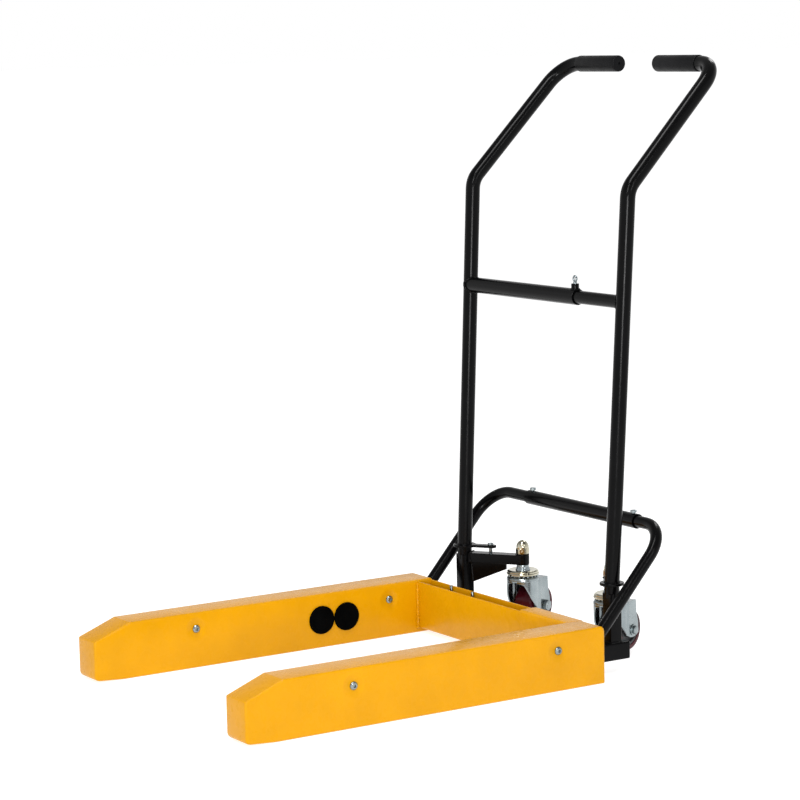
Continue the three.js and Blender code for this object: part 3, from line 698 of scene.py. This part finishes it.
def arm_welds():
    """The beads on the castor arm, in the arm's own frame."""
    half = ARM_WIDTH / 2
    bar_end = [(13.5, -half, ARM_TOP), (13.5, half, ARM_TOP), (17, half, ARM_BOTTOM), (17, -half, ARM_BOTTOM)]
    beads = [bead(bar_end, 1.5, True)]
    for y in (-GUSSET_HALF, GUSSET_HALF):
        beads.append(bead([(17, y, GUSSET_FOOT + 3), (14, y, ARM_BOTTOM)], 1.6))
    for y in (-GUSSET_HALF, GUSSET_HALF):
        beads.append(bead([(18, y, ARM_BOTTOM), (GUSSET_REACH - 2, y, ARM_BOTTOM)], 1.6))
    reach = BOSS_RADIUS + 0.1
    boss_ring = [(ARM_LENGTH + reach * c, reach * s, ARM_TOP) for c, s in polygon(1, 40) if c < 0.2]
    beads.append(bead(boss_ring, 1.3))
    return moved(joined(*beads), ARM_FRAME)


def half_welds():
    stub_outline = rounded_rectangle(POST_X - STUB_HALF, POST_X + STUB_HALF, STUB_BOTTOM, STUB_TOP, 4)
    stub_foot = [(a, FORK_LENGTH + 0.6, b) for a, b in stub_outline]
    reach = SOCKET_HALF
    socket_outline = rounded_rectangle(POST_X - reach, POST_X + reach, POST_Y - reach, POST_Y + reach, 3)
    socket_foot = [(a, b, STUB_TOP + 0.8) for a, b in socket_outline]
    collar_rings = [
        [(POST_X + POST_RADIUS * c, POST_Y + POST_RADIUS * s, z) for c, s in polygon(1, 36)]
        for z in (COLLAR_Z - 0.2, COLLAR_Z + COLLAR_THICK + 0.2)
    ]
    return joined(
        bead(loop_foot_line(), 2.2, True), bead(stub_foot, 1.8, True), bead(socket_foot, 1.8, True),
        *(bead(ring, 1.2, True) for ring in collar_rings),
        arm_welds(),
    )


def corner_weld(face):
    """The upright bead where the crosspiece's front face meets the inner side of the fork."""
    x, y = FORK_INNER - 1, face - 1
    return bead([(x, y, CROSS_BOTTOM + 4), (x, y, FORK_HEIGHT - 6)], 3.4)


def build_half(side):
    is_left = side == "left"
    build_fork(side)
    place([f"{side}_stub"], stub_tube(), edge=1)
    place([f"{side}_socket"], socket_tube())
    place([f"{side}_post"], tube(post_path(), POST_RADIUS, 36))
    place([f"{side}_grip"], grip_shape())
    place([f"{side}_collar_plate"], collar_plate(), edge=1.2)
    place([f"{side}_castor_arm"], castor_arm(), edge=1.1)
    place([f"{side}_lock_pin"], lock_pin())
    place([f"{side}_loop_tube"], tube(loop_path(), LOOP_RADIUS, 32))
    place_extra(f"{side}_welds", half_welds(), "black_paint", f"{side}_half", is_left)
    face = CROSS_FRONT + (CHANNEL_INSET if is_left else 0)
    place_extra(f"{side}_corner_weld", corner_weld(face), "yellow_paint", f"{side}_half", is_left)


# Castors


def castor_stem():
    """The king bolt: its shank, the tapered collar on the cup, and the washer under the crown."""
    collar_top, collar_radius, collar_foot = 123.7, 11.6, 14
    washer_top = CROWN_BOTTOM - GAP
    washer_radius, washer_foot = 15, washer_top - 3
    profile = softened([
        (NEAR_AXIS, STEM_TOP, 0), (STEM_RADIUS, STEM_TOP, 1), (STEM_RADIUS, collar_top, 0),
        (collar_radius, collar_top, 0.8), (collar_radius, 120, 1), (collar_foot, CUP_TOP - 1, 0),
        (STEM_RADIUS, CUP_TOP - 1, 0), (STEM_RADIUS, washer_top, 0), (washer_radius, washer_top, 0.6),
        (washer_radius, washer_foot, 0.6), (NEAR_AXIS, washer_foot, 0),
    ], 3, closed=False)
    return turned(profile)


def cap_nut():
    """A domed nut: a hexagon with chamfered corners under a bullet-shaped cap."""
    across, bottom = 11.2, BOSS_TOP + GAP
    corner = across / math.cos(math.pi / 6)
    rings = []
    for z, trim in ((bottom, 1), (bottom + 1, 0), (bottom + 10.6, 0), (bottom + 12, 1.6)):
        corners = [(x, y, 1.2) for x, y in polygon(corner - trim, 6)]
        rings.append([(a, b, z) for a, b in softened(corners, 2)])
    dome_radius, dome_height, dome_z, steps = 11.8, 13, bottom + 13, 9
    turns = [i * math.pi / (2 * steps) for i in range(1, steps)]
    dome = turned(
        [(dome_radius - 0.2, bottom + 9), (dome_radius, dome_z)]
        + [(dome_radius * math.cos(t), dome_z + dome_height * math.sin(t)) for t in turns]
        + [(NEAR_AXIS, bottom + 26)],
    )
    return joined(loft(rings), dome)


def castor_cup():
    """The pressed upper race, with a rolled rim and a step up to its flat top."""
    rim, ceiling, top = RACE_RADIUS, CUP_BOTTOM + 4, CUP_TOP - 0.8
    profile = softened([
        (RACE_BORE, ceiling, 0), (24, ceiling, 1), (26, CUP_BOTTOM, 1), (rim - 1, CUP_BOTTOM, 1),
        (rim, CUP_BOTTOM + 3, 1.6), (rim - 1.6, CUP_BOTTOM + 4.6, 1), (rim - 1.4, CUP_TOP - 2.4, 1.4),
        (rim - 4.5, CUP_TOP, 1.6), (17, top, 1), (RACE_BORE, top, 0),
    ], 4)
    return turned(profile, 56, closed=True)


def ball_ring():
    count, radius, steps = 20, 2.3, 8
    turns = [(i / steps - 0.5) * math.pi for i in range(steps + 1)]
    ball = turned([(radius * math.cos(t) + 0.005, radius * math.sin(t)) for t in turns], 12)
    z = (CROWN_TOP + CUP_BOTTOM) / 2 + 0.4
    reach = RACE_RADIUS - 4.6
    return joined(*(shifted(ball, reach * c, reach * s, z) for c, s in polygon(1, count)))


# A castor leg seen from the side, as (y, z): its lower edge from the crown to the foot, and its upper edge.
LEG_FRONT, LEG_BACK, LEG_TOP = -29.4, CASTOR_TRAIL + 16.5, 97
LEG_LOWER = [
    (LEG_FRONT, 92), (-23.2, 88), (-18, 76), (-11.5, 62), (-3, 50), (5, 40), (CASTOR_TRAIL - 14, AXLE_Z - 11),
    (CASTOR_TRAIL - 5, AXLE_Z - LEG_FOOT), (CASTOR_TRAIL + 5, AXLE_Z - LEG_FOOT),
    (CASTOR_TRAIL + 13, AXLE_Z - 7), (LEG_BACK, AXLE_Z + 3),
]
LEG_UPPER = [
    (LEG_FRONT, LEG_TOP), (CASTOR_TRAIL + 10, LEG_TOP), (CASTOR_TRAIL + 11.2, AXLE_Z + 31),
    (LEG_BACK, AXLE_Z + 12),
]


def edge_height(line, y):
    """Height of an edge at y, on straight runs between its points."""
    for (y0, z0), (y1, z1) in zip(line, line[1:]):
        if y <= y1:
            share = max(0, (y - y0) / (y1 - y0))
            return z0 + (z1 - z0) * share
    return line[-1][1]


def leg_x(y):
    """Distance of a castor leg's outer face from the middle: a round drum, a step in, then a ribbed flat."""
    flat = LEG_INSIDE + LEG_THICK
    step_end = DRUM_END + 4
    rib_at, rib_half, rib_height = DRUM_END + 12, 4.5, 2.0
    if y <= DRUM_END:
        return math.sqrt(max(0, DRUM_RADIUS ** 2 - y ** 2))
    if y < step_end:
        at_drum = math.sqrt(DRUM_RADIUS ** 2 - DRUM_END ** 2)
        share = (y - DRUM_END) / (step_end - DRUM_END)
        return at_drum + (flat - at_drum) * share * share * (3 - 2 * share)
    rib = max(0, 1 - abs(y - rib_at) / rib_half)
    return flat + rib_height * rib * rib * (3 - 2 * rib)


def castor_leg():
    """One pressed leg: a skin over (y, z) columns, as thick as the sheet."""
    columns, rows = 60, 8
    sheet = LEG_THICK - 0.5
    outer, inner = [], []
    for i in range(columns + 1):
        y = LEG_FRONT + (LEG_BACK - LEG_FRONT) * i / columns
        low, top = edge_height(LEG_LOWER, y), edge_height(LEG_UPPER, y)
        for j in range(rows + 1):
            z = low + (top - low) * j / rows
            outer.append((leg_x(y), y, z))
            inner.append((leg_x(y) - sheet, y, z))
    return closed_sheet(outer, inner, columns, rows)


def closed_sheet(outer, inner, columns, rows):
    """Two grids of points joined round their border."""
    points = [Vector(p) for p in outer + inner]
    base = len(outer)
    width = rows + 1
    faces = []
    for i in range(columns):
        for j in range(rows):
            a = i * width + j
            faces.append((a, a + width, a + width + 1, a + 1))
            faces.append((base + a, base + a + 1, base + a + width + 1, base + a + width))
    border = [i * width for i in range(columns + 1)]
    border += [columns * width + j for j in range(1, width)]
    border += [i * width + rows for i in range(columns - 1, -1, -1)]
    border += [j for j in range(rows - 1, 0, -1)]
    for a, b in zip(border, border[1:] + border[:1]):
        faces.append((b, a, base + a, base + b))
    return points, faces


MIRROR_X = Matrix.Diagonal((-1, 1, 1, 1))


def mirrored_shape(shape):
    points, faces = moved(shape, MIRROR_X)
    return points, [tuple(reversed(face)) for face in faces]


def castor_fork():
    """The crown, the deck behind it and two legs."""
    rim = RACE_RADIUS
    crown = turned(softened([
        (RACE_BORE, CROWN_BOTTOM, 0), (rim - 2, CROWN_BOTTOM, 1), (rim, CROWN_BOTTOM + 2.5, 1.2),
        (rim - 0.6, CROWN_TOP - 2.2, 1.2), (rim - 3, CROWN_TOP, 1), (RACE_BORE, CROWN_TOP, 0),
    ], 4), 56, closed=True)
    half = LEG_INSIDE + 1
    deck_reach, deck_thick = CASTOR_TRAIL + 9, 4
    deck = box(-half, half, 0, deck_reach, CROWN_BOTTOM, CROWN_BOTTOM + deck_thick)
    leg = castor_leg()
    return joined(crown, deck, leg, mirrored_shape(leg))


ABOUT_AXLE = Matrix.Translation((0, CASTOR_TRAIL, AXLE_Z)) @ Matrix.Rotation(QUARTER_TURN, 4, "Y")


def tyre():
    """A tread that is slightly crowned, with softly rounded shoulders."""
    half, radius = TYRE_HALF, TYRE_RADIUS
    bore = HUB_RADIUS + GAP
    profile = softened([
        (bore, -half, 0.6), (radius - 4.5, -half, 2.5), (radius - 1.2, -half + 4, 3), (radius, 0, 60),
        (radius - 1.2, half - 4, 3), (radius - 4.5, half, 2.5), (bore, half, 0.6),
    ], 5)
    return moved(turned(profile, 72, closed=True), ABOUT_AXLE)


def hub():
    """A cast hub: a rim, a thin web and a boss round its bore."""
    half = TYRE_HALF - 1
    web, boss, bore, boss_radius, rim_inside = half - 6, half + 2.5, 8.8, 14, 23
    profile = softened([
        (bore, -boss, 0.5), (boss_radius, -boss, 1), (boss_radius, -web, 1.5), (rim_inside, -web, 1.5),
        (rim_inside, -half, 1), (HUB_RADIUS, -half, 0.5), (HUB_RADIUS, half, 0.5), (rim_inside, half, 1),
        (rim_inside, web, 1.5), (boss_radius, web, 1.5), (boss_radius, boss, 1), (bore, boss, 0.5),
    ], 3)
    return moved(turned(profile, 48, closed=True), ABOUT_AXLE)


def hexagon_head(radius, start, end, chamfer=1.0):
    low, high = (start, end) if start < end else (end, start)
    slope = chamfer * 0.6
    rings = []
    for z, trim in ((low, chamfer), (low + slope, 0), (high - slope, 0), (high, chamfer)):
        corners = [(x, y, 0.8) for x, y in polygon(radius - trim, 6)]
        rings.append([(a, b, z) for a, b in softened(corners, 2)])
    return loft(rings)


def axle_parts():
    """The axle bolt with its washer, its nut, and the sleeve between the legs."""
    outside = LEG_INSIDE + LEG_THICK + GAP
    washer_inner, washer_outer, washer_radius = outside - 0.2, outside + 1.4, 10.5
    washer = turned(softened([
        (AXLE_RADIUS, washer_inner, 0), (washer_radius, washer_inner, 0), (washer_radius, washer_outer, 0.5),
        (AXLE_RADIUS, washer_outer, 0),
    ], 3), closed=True)
    head = hexagon_head(8.2, outside + 1, outside + 6.2)
    start, end = outside + 2, -outside - 9
    shank = turned(softened([
        (NEAR_AXIS, start, 0), (AXLE_RADIUS, start, 0), (AXLE_RADIUS, end, 0.8), (NEAR_AXIS, end, 0),
    ], 3, closed=False))
    nut = hexagon_head(10.4, -outside, -outside - 8)
    half, bore = LEG_INSIDE - 0.4, AXLE_RADIUS + 0.2
    sleeve = turned([
        (bore, -half), (AXLE_SLEEVE_RADIUS, -half), (AXLE_SLEEVE_RADIUS, half), (bore, half),
    ], 32, closed=True)
    return (
        moved(joined(head, washer, shank), ABOUT_AXLE),
        moved(nut, ABOUT_AXLE),
        moved(sleeve, ABOUT_AXLE),
    )


def build_castor(side):
    fixed = Matrix.Translation((CASTOR_X, CASTOR_Y, 0))
    yaw = CASTOR_YAW if side == "right" else -CASTOR_YAW
    swivel = fixed @ Matrix.Rotation(math.radians(yaw), 4, "Z")
    place([f"{side}_castor_stem"], moved(castor_stem(), fixed))
    place([f"{side}_castor_cap_nut"], moved(cap_nut(), fixed))
    place([f"{side}_castor_cup"], moved(castor_cup(), fixed))
    place([f"{side}_castor_ball_cage"], moved(ball_ring(), swivel))
    place([f"{side}_castor_fork"], moved(castor_fork(), swivel), edge=0.7)
    place([f"{side}_wheel_tyre"], moved(tyre(), swivel))
    place([f"{side}_wheel_hub"], moved(hub(), swivel))
    bolt, nut, sleeve = axle_parts()
    place([f"{side}_axle_bolt"], moved(bolt, swivel))
    place([f"{side}_axle_nut"], moved(nut, swivel))
    place([f"{side}_axle_sleeve"], moved(sleeve, swivel))


# Telescopic members, in true left-to-right coordinates


def straight_path(x0, x1, y, z):
    return bent_path([(x0, y, z), (x1, y, z)])


def crossbar_outer():
    """The wider tube, fixed to the left post, with the boss of the clamp screw on it."""
    x, y, _ = post_axis(BAR_Z)
    bar = open_ended(straight_path(BAR_MOUTH, 9 - x, y, BAR_Z), BAR_RADIUS, BAR_BORE, 40)
    bore, foot, top = CLAMP_SCREW_RADIUS + GAP, 8, BAR_RADIUS + CLAMP_BOSS_HEIGHT
    profile = softened([
        (bore, foot, 0), (CLAMP_BOSS_RADIUS, foot, 0), (CLAMP_BOSS_RADIUS, top, 0.8), (bore, top, 0.4),
    ], 3)
    boss = shifted(turned(profile, 32, closed=True), CLAMP_X, y, BAR_Z)
    return joined(bar, boss)


def crossbar_welds():
    y = post_axis(BAR_Z).y
    reach = CLAMP_BOSS_RADIUS + 0.2
    ring = [
        (CLAMP_X + reach * c, y + reach * s, BAR_Z + math.sqrt(BAR_RADIUS ** 2 - (reach * s) ** 2))
        for c, s in polygon(1, 36)
    ]
    return joined(bead(saddle(-1, BAR_RADIUS), 2.4, True), bead(ring, 1.6, True))


def crossbar_inner():
    x, y, _ = post_axis(BAR_Z)
    return tube(straight_path(BAR_INNER_END, x - 9, y, BAR_Z), BAR_INNER_RADIUS, 40)


def ring_eye(radius, wire, x, y, z):
    """A ring of wire standing upright, seen face on along Y."""
    steps, sides = 32, 14
    stations = []
    for i in range(steps + 1):
        turn = FULL_TURN * i / steps
        centre = Vector((x + radius * math.cos(turn), y, z + radius * math.sin(turn)))
        stations.append((centre, Vector((-math.sin(turn), 0, math.cos(turn))), wire))
    return swept(stations, sides)


def clamp_screw():
    y = post_axis(BAR_Z).y
    foot, neck = BAR_Z + BAR_INNER_RADIUS + 0.4, BAR_Z + BAR_RADIUS + 11
    top, radius = neck + 1, CLAMP_SCREW_RADIUS
    profile = softened([
        (NEAR_AXIS, top, 0), (radius, top, 1), (radius, foot, 0.6), (NEAR_AXIS, foot, 0),
    ], 3, closed=False)
    shank = shifted(turned(profile, 24), CLAMP_X, y, 0)
    return joined(shank, ring_eye(EYE_RADIUS, EYE_WIRE, CLAMP_X, y, neck + EYE_RADIUS + EYE_WIRE))


def loop_sleeve():
    """A short tube over both halves of the loop, open a little way at both ends."""
    lip, depth = 0.6, 20
    ends = []
    for x, sign in ((SLEEVE_LEFT, 1), (SLEEVE_RIGHT, -1)):
        ends.append([
            (x + sign * depth, SLEEVE_BORE), (x + sign * lip, SLEEVE_BORE), (x, SLEEVE_BORE + lip),
            (x, SLEEVE_RADIUS - lip), (x + sign * lip, SLEEVE_RADIUS),
        ])
    stations = ends[0] + ends[1][::-1]
    heading = Vector((1, 0, 0))
    return swept([(Vector((x, LOOP_Y, LOOP_Z)), heading, r) for x, r in stations], 40)


def set_screw(x):
    """A hexagon-headed screw that presses on the loop tube through the sleeve."""
    radius, head_radius, head_height = 3, 6, 4.5
    foot = LOOP_Z + LOOP_RADIUS + GAP
    seat = LOOP_Z + SLEEVE_RADIUS + 1.2
    top = seat + 1
    shank = turned([(NEAR_AXIS, foot), (radius, foot), (radius, top), (NEAR_AXIS, top)], 20)
    head = hexagon_head(head_radius, seat, seat + head_height, 0.6)
    return shifted(joined(shank, head), x, LOOP_Y, 0)


def build_middle():
    place(["right_crosspiece_sleeve"], crosspiece_sleeve())
    place(["left_crosspiece_channel"], crosspiece_channel())
    place_extra("channel_screws", channel_screws(), "zinc_plate", "left_half")
    place(["crossbar_outer_tube"], crossbar_outer())
    place(["crossbar_inner_tube"], crossbar_inner())
    place_extra("crossbar_left_welds", crossbar_welds(), "black_paint", "left_half")
    right_weld = bead(saddle(1, BAR_INNER_RADIUS), 2.4, True)
    place_extra("crossbar_right_weld", right_weld, "black_paint", "right_half")
    place(["crossbar_clamp_screw"], clamp_screw())
    place(["loop_sleeve"], loop_sleeve())
    place(["loop_left_set_screw"], set_screw(SLEEVE_LEFT + SET_SCREW_INSET))
    place(["loop_right_set_screw"], set_screw(SLEEVE_RIGHT - SET_SCREW_INSET))


# Light, floor and camera


def away(azimuth, elevation):
    """The direction from the object to something at an azimuth and elevation in degrees."""
    a, e = math.radians(azimuth), math.radians(elevation)
    return Vector((math.sin(a) * math.cos(e), -math.cos(a) * math.cos(e), math.sin(e)))


def add_area_light(name, azimuth, elevation, distance, width, height, watts):
    light = bpy.data.lights.new(name, "AREA")
    light.shape = "RECTANGLE"
    light.size, light.size_y = width, height
    light.energy = watts
    lamp = bpy.data.objects.new(name, light)
    bpy.context.scene.collection.objects.link(lamp)
    back = away(azimuth, elevation)
    lamp.location = Vector(LIGHT_AIM) + back * distance
    lamp.rotation_mode = "QUATERNION"
    lamp.rotation_quaternion = back.to_track_quat("Z", "Y")


def build_floor():
    mesh = bpy.data.meshes.new("floor")
    signs = ((-1, -1), (1, -1), (1, 1), (-1, 1))
    corners = [(a * FLOOR_REACH, b * FLOOR_REACH, FLOOR_LEVEL) for a, b in signs]
    mesh.from_pydata(corners, [], [(0, 1, 2, 3)])
    material = bpy.data.materials.new("floor paper")
    material.use_nodes = True
    shader = material.node_tree.nodes["Principled BSDF"]
    shader.inputs["Base Color"].default_value = (0.5, 0.5, 0.5, 1)
    shader.inputs["Roughness"].default_value = 1
    shader.inputs["Specular IOR Level"].default_value = 0
    shader.inputs["Emission Color"].default_value = (1, 1, 1, 1)
    shader.inputs["Emission Strength"].default_value = 0.8
    mesh.materials.append(material)
    floor = bpy.data.objects.new("floor", mesh)
    bpy.context.scene.collection.objects.link(floor)


def build_world():
    world = bpy.data.worlds.new("studio")
    bpy.context.scene.world = world
    world.use_nodes = True
    nodes, links = world.node_tree.nodes, world.node_tree.links
    background = nodes["Background"]
    background.inputs["Color"].default_value = (1, 1, 1, 1)
    heading = nodes.new("ShaderNodeTexCoord")
    parts = nodes.new("ShaderNodeSeparateXYZ")
    links.new(heading.outputs["Generated"], parts.inputs["Vector"])
    # White near the horizon, dimmer overhead
    strength = remap(nodes, links, parts.outputs["Z"], 1.0, 0.4, 0.25, 0.6)
    links.new(strength, background.inputs["Strength"])


def build_camera():
    data = bpy.data.cameras.new("camera")
    data.sensor_width = CAMERA_SENSOR
    data.lens = CAMERA_LENS
    data.clip_end = CAMERA_REACH
    camera = bpy.data.objects.new("camera", data)
    bpy.context.scene.collection.objects.link(camera)
    a, r = math.radians(CAMERA_AZIMUTH), math.radians(CAMERA_ROLL)
    back = away(CAMERA_AZIMUTH, CAMERA_ELEVATION)
    right = Vector((math.cos(a), math.sin(a), 0))
    up = back.cross(right)
    rolled_right = right * math.cos(r) + up * math.sin(r)
    rolled_up = up * math.cos(r) - right * math.sin(r)
    turn = Matrix((rolled_right, rolled_up, back)).transposed()
    camera.matrix_world = Matrix.Translation(CAMERA_PLACE) @ turn.to_4x4()
    bpy.context.scene.camera = camera


for each_side in SIDES:
    build_half(each_side)
    build_castor(each_side)
build_middle()
build_floor()
build_world()
for row in LIGHTS:
    add_area_light(*row)
build_camera()
bpy.context.scene.view_settings.view_transform = "Standard"
